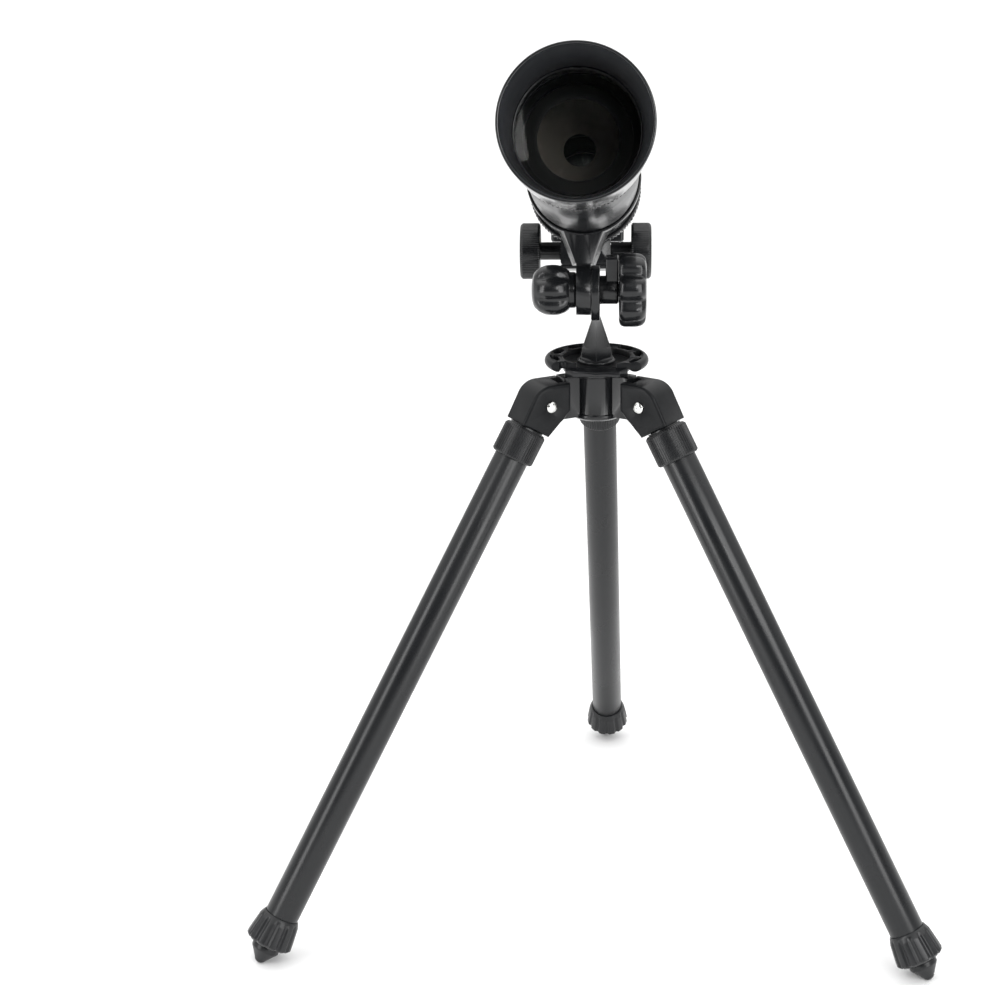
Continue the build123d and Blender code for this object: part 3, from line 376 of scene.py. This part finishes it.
RIBBED_BLACK = moulded("ribbed_black", (0.011, 0.0115, 0.0125), 0.36, 1400, 0.00003, 0.36)
RUBBER = moulded("soft_rubber", (0.014, 0.014, 0.014), 0.7, 2200, 0.00008, 0.3)
STEEL = turned_metal("bright_steel", (0.72, 0.72, 0.70), 0.22)
CHROME = turned_metal("plated_barrel", (0.82, 0.82, 0.84), 0.1, 0.00001)
BRASS = turned_metal("plain_brass", (0.75, 0.56, 0.25), 0.3)
MIRROR = turned_metal("front_mirror", (0.93, 0.93, 0.95), 0.02, 0.000001)
GLASS = lens_glass("lens_glass", (0.97, 0.985, 0.97))
COATED = coated_lens("coated_lens", (0.004, 0.006, 0.005))


def paint(material, *names):
    for name in names:
        obj = NODES[name]
        obj.data.materials.clear()
        obj.data.materials.append(material)


def line_inside(node):
    """Gives the faces of a bored CAD node that look towards the tube's axis a dull black finish."""
    mesh = NODES[node].data
    mesh.materials.append(INSIDE_BLACK)
    back = TUBE.inverted()
    for face in mesh.polygons:
        middle = back @ face.center
        normal = back.to_3x3() @ face.normal
        if middle.x * normal.x + middle.y * normal.y < -0.5 * math.hypot(middle.x, middle.y):
            face.material_index = 1


def line_bore(piece, material, low, high):
    """Gives the faces of a turned piece that look towards its own axis another finish."""
    piece.data.materials.append(material)
    for face in piece.data.polygons:
        middle = face.center
        inward = middle.x * face.normal.x + middle.y * face.normal.y < -0.5 * math.hypot(middle.x, middle.y)
        if inward and low * MM < middle.z < high * MM:
            face.material_index = 1


# ---- telescope -------------------------------------------------------------------------
def hood():
    inner = [(CLEAR_R + 0.8, HOOD_CONE_END + 1.0), (CLEAR_R + 0.8, HOOD_CONE_END),
             (CELL_SPIGOT_R + GAP, HOOD_CONE_END), (CELL_SPIGOT_R + GAP, HOOD_REAR)]
    outline = inner + [(HOOD_REAR_R, HOOD_REAR), (HOOD_MOUTH_R, HOOD_FRONT),
                       (HOOD_MOUTH_R - 1.2, HOOD_FRONT)]
    piece = turn("hood", rounded(outline, 0.55, 5), TUBE, "telescope", HOOD_BLACK, 192)
    line_bore(piece, HOOD_INSIDE, HOOD_REAR, HOOD_FRONT - 0.6)
    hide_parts("dew_shield")


def cell():
    outline = [(TUBE_R + GAP, CELL_REAR), (CELL_RIB_R - 0.6, CELL_REAR), (CELL_RIB_R, CELL_REAR + 0.9),
               (CELL_RIB_R, HOOD_REAR - 1.4), (CELL_RIB_R - 0.6, HOOD_REAR - 0.5),
               (CELL_SPIGOT_R, HOOD_REAR - 0.5),
               (CELL_SPIGOT_R, HOOD_CONE_END - 0.2), (LENS_R + GAP, HOOD_CONE_END - 0.2),
               (LENS_R + GAP, LENS_SEAT),
               (CELL_STEP_R, LENS_SEAT), (CELL_STEP_R, TUBE_FRONT + GAP), (TUBE_R + GAP, TUBE_FRONT + GAP)]
    piece = turn("cell_band", rounded(outline, 0.25, 2), TUBE, "telescope", CELL_BLACK, 720,
                 ribs(90, 0.5, CELL_RIB_R - 0.25))
    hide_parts("objective_cell")


def lens_face(radius, rim, edge_height, count=24):
    """Points from the axis to the rim of a spherical face that bulges up for a positive radius."""
    top = abs(radius) - math.sqrt(radius ** 2 - rim ** 2)
    points = []
    for k in range(count + 1):
        r = rim * k / count
        drop = abs(radius) - math.sqrt(radius ** 2 - r ** 2)
        points.append((r, edge_height + math.copysign(top - drop, radius)))
    return points


def lens(name, node, front, back, low, edge):
    """Polished lens between two spherical faces; a positive radius bulges outward."""
    rim = LENS_R - GAP
    lower = lens_face(-back, rim, low)
    upper = lens_face(front, rim, low + edge)
    piece = turn(name, lower + upper[::-1], TUBE, "telescope", COATED, 128, sharp=50)
    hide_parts(node)


def main_tube():
    inside = TUBE_R - 1.0
    outline = [(inside, TUBE_REAR), (TUBE_R, TUBE_REAR), (TUBE_R, TUBE_FRONT), (inside, TUBE_FRONT)]
    piece = turn("tube", rounded(outline, 0.2, 2), TUBE, "telescope", TUBE_BLACK, 192)
    line_bore(piece, INSIDE_BLACK, TUBE_REAR, TUBE_FRONT)
    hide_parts("main_tube")


def end_ring():
    outline = [(TUBE_R + GAP, RING_FRONT), (RING_R - 0.6, RING_FRONT), (RING_R, RING_FRONT - 0.9),
               (RING_R, RING_REAR + 0.9), (RING_R - 0.6, RING_REAR), (23.3, RING_REAR), (23.3, -64.6),
               (TUBE_R + GAP, -64.6)]
    piece = turn("end_ring", rounded(outline, 0.25, 2), TUBE, "telescope", GLOSS_BLACK, 720,
                 ribs(90, 0.5, RING_R - 0.25))
    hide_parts("tube_end_ring")


def focus_knob(side, flip):
    place = SHAFT @ (Matrix.Rotation(math.pi, 4, "X") if flip else Matrix.Identity(4))
    inner = KNOB_SPAN / 2 - KNOB_WIDTH
    outer = KNOB_SPAN / 2
    bore = SHAFT_R + GAP
    outline = [(bore, BLOCK_HALF + 0.2), (4.4, BLOCK_HALF + 0.2), (4.4, inner), (KNOB_R - 0.8, inner),
               (KNOB_R, inner + 0.9),
               (KNOB_R, outer - 1.2), (KNOB_R - 1.2, outer), (KNOB_R - 2.6, outer),
               (KNOB_R - 3.2, outer - 0.7),
               (4.6, outer - 0.7), (4.2, outer), (0, outer), (0, outer - 1.15), (bore, outer - 1.15)]
    piece = turn(f"focus_wheel_{side}", rounded(outline, 0.35, 3), place, "focus_drive", GLOSS_BLACK, 480,
                 ribs(80, 0.2, KNOB_R - 0.3))
    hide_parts(f"focus_knob_{side}")


def thumbscrew(name, node, place, body, radius, length, knurls, thread_r, thread_length):
    outline = [(0, -thread_length), (thread_r, -thread_length), (thread_r, 0), (radius - 0.4, 0),
               (radius, 0.4),
               (radius, length - 0.9), (radius - 0.9, length), (0, length)]
    piece = turn(name, rounded(outline, 0.25, 2), place, body, GLOSS_BLACK, knurls * 10,
                 ribs(knurls, 0.4, radius - 0.3))
    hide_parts(node)


def eyepiece():
    t = SOCKET_TOP
    outline = [(13.4, t - 20), (EYEPIECE_R, t - 20), (EYEPIECE_R, t + GAP), (17.6, t + GAP),
               (18.0, t + 0.6), (18.0, t + 9),
               (17.2, t + 10), (17.2, t + 19), (15.0, t + 22), (15.0, t + 26), (8.6, t + 26),
               (8.6, t + 24.8),
               (7.6, t + 24.8), (7.6, t + 17.0), (12.4, t + 10), (12.4, t - 12), (13.4, t - 13)]
    piece = turn("eyepiece", rounded(outline, 0.3, 3), EYE, "eyepiece", GLOSS_BLACK, 480,
                 ribs(60, 0.25, 17.9))
    piece.data.materials.append(CHROME)
    for face in piece.data.polygons:
        if face.center.z < (t - 0.2) * MM:
            face.material_index = 1
    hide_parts("eyepiece_body")
    cup = [(15.0 + GAP, t + 22.6), (16.9, t + 22.6), (17.3, t + 23.4), (16.4, t + 27.0), (17.8, t + 33.0),
           (17.1, t + 33.8), (16.1, t + 33.2), (13.8, t + 27.6), (12.0, t + 26.6), (12.0, t + 26 + GAP),
           (15.0 + GAP, t + 26 + GAP)]
    piece = turn("rubber_cup", rounded(cup, 1.2, 4), EYE, "eyepiece", RUBBER, 128)
    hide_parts("eyecup")


def telescope():
    hood()
    cell()
    lens("flint_glass", "flint_lens", -150.0, -700.0, LENS_SEAT + GAP, 4.5)
    lens("crown_glass", "crown_lens", 220.0, 150.0, 169.2, 2.6)
    main_tube()
    end_ring()
    focus_knob("right", False)
    focus_knob("left", True)
    lock = placed(joint_point("focus_lock_turn"), UP, RIGHT)
    thumbscrew("lock_thumbscrew", "focus_lock_screw", lock, "focus_lock", 5.5, 7.0, 24, 2.0, 6.2)
    holder = placed(joint_point("drawtube_screw_turn"), UP, RIGHT)
    thumbscrew("drawtube_thumbscrew", "drawtube_screw", holder, "drawtube_clamp", 4.0, 6.0, 20, 1.5, 4.1)
    side = placed(joint_point("eyepiece_screw_turn"), -FORWARD, RIGHT)
    thumbscrew("eyepiece_thumbscrew", "diagonal_screw", side, "eyepiece_clamp", 4.0, 6.0, 20, 1.5, 3.0)
    eyepiece()


# ---- head ------------------------------------------------------------------------------
def clamp_wheel():
    start = CLAMP_START
    end = start + CLAMP_LENGTH
    outline = [(BOLT_R + GAP, start), (14.6, start), (16.3, start + 0.8), (CLAMP_R, start + 2.4),
               (CLAMP_R, start + 8.2), (16.4, end - 2.0), (14.8, end - 0.5), (12.0, end), (10.6, end),
               (9.8, end - 0.6),
               (0, end - 0.6), (0, start + 9.3), (BOLT_R + GAP, start + 9.3)]
    piece = turn("clamp_wheel", rounded(outline, 0.8, 4), TILT, "clamp", GLOSS_BLACK, 224,
                 lobes(7, 3.4, 15.0, 8.0), 45)
    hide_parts("clamp_knob")


def ball_wheel():
    seat = BALL_SEAT + GAP
    near = seat + BALL_FLANGE
    end = near + BALL_LENGTH
    outline = [(BOLT_R + GAP, seat), (8.25, seat), (8.25, near + 0.3), (9.0, near), (10.8, near + 2.0),
               (12.0, near + 5.0),
               (BALL_R, near + 8.0), (11.9, near + 11.2), (10.4, near + 14.2), (7.6, near + 16.4),
               (4.0, end), (0, end),
               (0, 21.2), (BOLT_R + GAP, 21.2)]
    place = TILT @ Matrix.Rotation(math.pi, 4, "Y")
    piece = turn("ball_wheel", rounded(outline, 1.2, 5), place, "tilt_screw", GLOSS_BLACK, 192,
                 lobes(6, 2.0, 11.5, 8.3), 45)
    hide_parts("ball_knob")


# ---- legs ------------------------------------------------------------------------------
def leg(name):
    place = leg_place(name)
    low = -COLLAR_TOP - COLLAR_LENGTH
    outline = [(LEG_TUBE_R + GAP, low), (COLLAR_R - 0.9, low), (COLLAR_R, low + 0.9),
               (COLLAR_R, -COLLAR_TOP - 1.3),
               (COLLAR_R - 1.1, -COLLAR_TOP - GAP), (LEG_TUBE_R + GAP, -COLLAR_TOP - GAP)]
    collar = turn(f"ribbed_collar_{name}", rounded(outline, 0.3, 3), place, f"leg_{name}", RIBBED_BLACK,
                  416,
                  ribs(COLLAR_RIBS, 0.35, COLLAR_R - 0.5))
    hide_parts(f"leg_collar_{name}")
    inside = LEG_TUBE_R - LEG_TUBE_WALL
    outline = [(inside, -LOCK_BOTTOM + 5.0), (LEG_TUBE_R, -LOCK_BOTTOM + 5.0),
               (LEG_TUBE_R, -BRACKET_END - 0.15),
               (inside, -BRACKET_END - 0.15)]
    tube = turn(f"drawn_tube_{name}", rounded(outline, 0.2, 2), place, f"leg_{name}", LEG_BLACK, 96)
    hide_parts(f"leg_tube_{name}")
    bore = INNER_TUBE_R + 0.2
    outline = [(bore, -LOCK_BOTTOM), (LOCK_FLARE_R - 1.2, -LOCK_BOTTOM), (LOCK_FLARE_R, -LOCK_BOTTOM + 1.2),
               (LOCK_FLARE_R - 0.4, -LOCK_BOTTOM + 4.5), (LOCK_TOP_R + 0.9, -LOCK_TOP - 3.0),
               (LOCK_TOP_R, -LOCK_TOP - 0.8),
               (LOCK_TOP_R - 0.5, -LOCK_TOP), (LEG_TUBE_R + GAP, -LOCK_TOP),
               (LEG_TUBE_R + GAP, -LOCK_BOTTOM + 4.6),
               (bore, -LOCK_BOTTOM + 4.6)]

    def fluted(radius, height, angle):
        if radius < LOCK_TOP_R + 0.3 or height > -LOCK_TOP - 1.5:
            return radius
        pitch = 360 / FLUTES
        away = abs((math.degrees(angle) + pitch / 2) % pitch - pitch / 2)
        return radius - FLUTE_DEPTH * max(0.0, 1 - (away / FLUTE_HALF) ** 2)

    lock = turn(f"fluted_ring_{name}", rounded(outline, 0.35, 3), place, f"twist_ring_{name}", RIBBED_BLACK,
                240, fluted)
    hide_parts(f"lock_ring_{name}")
    foot(name, place)


def foot(name, place):
    top = -LOCK_BOTTOM - 1.0
    tip = -LEG_REACH
    plug = INNER_TUBE_R - INNER_TUBE_WALL - GAP
    outline = [(0, top + 8), (plug, top + 8), (plug, top - GAP), (6.65, top - GAP), (6.65, top - 2.2),
               (6.1, top - 3.0)]
    for k in range(9):
        angle = math.radians(22 + 68 * k / 8)
        outline.append((TIP_ROUND * math.cos(angle), tip + TIP_ROUND - TIP_ROUND * math.sin(angle)))
    outline[-1] = (0, tip)
    piece = turn(f"foot_cone_{name}", rounded(outline, 0.3, 2), place, f"foot_{name}", RIBBED_BLACK, 96)
    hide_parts(f"foot_tip_{name}")


# ---- CAD nodes that keep their own shape -----------------------------------------------
def carried_over():
    for name in ("tube_bracket", "focuser_housing", "pinion_cover", "clamp_spacer", "diagonal_housing",
                 "diagonal_cover",
                 "lens_retainer"):
        paint(GLOSS_BLACK, name)
        soften(name)
    paint(GLOSS_BLACK, "head_post")
    soften("head_post", 0.45)
    paint(SATIN_BLACK, "tray_disc")
    soften("tray_disc", 0.3)
    paint(GLOSS_BLACK, "hub_body")
    soften("hub_body", 0.45)
    for name in ("aperture_stop", "lens_spacer"):
        paint(INSIDE_BLACK, name)
        soften(name, 0.1)
    paint(BAFFLE_GREY, "glare_baffle")
    soften("glare_baffle", 0.1)
    for name in LEGS:
        paint(SATIN_BLACK, f"leg_bracket_{name}")
        soften(f"leg_bracket_{name}", 0.4)
        paint(LEG_BLACK, f"inner_leg_{name}")
        soften(f"inner_leg_{name}", 0.1)
    for name in ("hinge_pins", "azimuth_bolt", "azimuth_nut", "tilt_bolt", "cover_screws",
                 "diagonal_cover_screws",
                 "pinion_shaft"):
        paint(STEEL, name)
        soften(name, 0.12)
    for name in ("drawtube", "diagonal_nosepiece"):
        paint(CHROME, name)
        line_inside(name)
        soften(name, 0.12)
    paint(BRASS, "focus_rack")
    soften("focus_rack", 0.08)
    paint(MIRROR, "diagonal_mirror")
    soften("diagonal_mirror", 0.15)
    paint(GLASS, "field_lens", "eye_lens")
    for name in ("field_lens", "eye_lens"):
        soften(name, 0.1)


# ---- floor, light and camera -----------------------------------------------------------
def floor():
    mesh = bpy.data.meshes.new("floor")
    reach = 30.0
    corners = [(-reach, -reach, 0), (reach, -reach, 0), (reach, reach, 0), (-reach, reach, 0)]
    mesh.from_pydata(corners, [], [(0, 1, 2, 3)])
    made = Nodes("paper_floor")
    made.link(made.mix(made.noise(3, 2.0), (0.86, 0.86, 0.86), (0.9, 0.9, 0.9)), "Base Color")
    made.shader.inputs["Roughness"].default_value = 0.9
    mesh.materials.append(made.material)
    obj = bpy.data.objects.new("floor", mesh)
    bpy.context.scene.collection.objects.link(obj)


def soft_box(name, place, aim, width, height, strength):
    """Area light; strength is its brightness, so that its size doesn't change how it reflects."""
    light = bpy.data.lights.new(name, "AREA")
    light.shape = "RECTANGLE"
    light.size = width
    light.size_y = height
    light.energy = strength * math.pi * width * height
    obj = bpy.data.objects.new(name, light)
    bpy.context.scene.collection.objects.link(obj)
    obj.location = place
    obj.rotation_euler = (Vector(aim) - Vector(place)).to_track_quat("-Z", "Y").to_euler()


def studio():
    world = bpy.data.worlds.new("white_room")
    bpy.context.scene.world = world
    world.use_nodes = True
    tree = world.node_tree
    direction = tree.nodes.new("ShaderNodeTexCoord").outputs["Generated"]
    parts = tree.nodes.new("ShaderNodeSeparateXYZ")
    tree.links.new(direction, parts.inputs[0])
    total = None
    for axis, start, stop, low, high in (("Y", -0.6, 0.25, 0.05, 0.85), ("Z", 0.3, 0.85, 0.0, 1.2)):
        ramp = tree.nodes.new("ShaderNodeMapRange")
        ramp.interpolation_type = "SMOOTHSTEP"
        tree.links.new(parts.outputs[axis], ramp.inputs["Value"])
        for socket, value in (("From Min", start), ("From Max", stop), ("To Min", low), ("To Max", high)):
            ramp.inputs[socket].default_value = value
        if total is None:
            total = ramp.outputs["Result"]
            continue
        adding = tree.nodes.new("ShaderNodeMath")
        tree.links.new(total, adding.inputs[0])
        tree.links.new(ramp.outputs["Result"], adding.inputs[1])
        total = adding.outputs[0]
    seen = tree.nodes.new("ShaderNodeLightPath").outputs["Is Camera Ray"]
    backdrop = tree.nodes.new("ShaderNodeMath")
    backdrop.operation = "MAXIMUM"
    tree.links.new(total, backdrop.inputs[0])
    tree.links.new(seen, backdrop.inputs[1])
    tree.links.new(backdrop.outputs[0], tree.nodes["Background"].inputs["Strength"])
    tree.nodes["Background"].inputs["Color"].default_value = (1, 1, 1, 1)
    soft_box("left_box", (-0.95, -0.75, 0.5), (0, 0, 0.2), 0.35, 1.2, 6.0)
    soft_box("right_box", (0.8, -1.05, 0.55), (0, 0, 0.2), 0.5, 1.2, 5.5)
    soft_box("front_box", (0.42, -1.3, 0.88), (0, -0.18, 0.39), 0.3, 0.3, 11.0)


def camera():
    """Same place and tilt as the photographer's, measured from the middle of the tray."""
    low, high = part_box("tray_disc")
    data = bpy.data.cameras.new("camera")
    data.lens = CAMERA_LENS
    data.sensor_width = CAMERA_SENSOR
    data.clip_start = 0.01
    data.clip_end = 100
    obj = bpy.data.objects.new("camera", data)
    bpy.context.scene.collection.objects.link(obj)
    pitch = math.radians(CAMERA_PITCH)
    yaw = math.radians(CAMERA_YAW)
    roll = math.radians(CAMERA_ROLL)
    ahead = Vector((math.sin(yaw) * math.cos(pitch), math.cos(yaw) * math.cos(pitch), -math.sin(pitch)))
    across = Vector((math.cos(yaw), -math.sin(yaw), 0))
    down = ahead.cross(across)
    x_axis = across * math.cos(roll) + down * math.sin(roll)
    y_axis = across * math.sin(roll) - down * math.cos(roll)
    matrix = Matrix((x_axis, y_axis, -ahead)).transposed().to_4x4()
    axle = joint_point("azimuth")
    matrix.translation = Vector((axle.x, axle.y, (low.z + high.z) / 2)) + Vector(CAMERA_FROM_TRAY)
    obj.matrix_world = matrix
    bpy.context.scene.camera = obj


telescope()
clamp_wheel()
ball_wheel()
for each in LEGS:
    leg(each)
carried_over()
floor()
studio()
camera()
bpy.context.scene.view_settings.view_transform = "Standard"
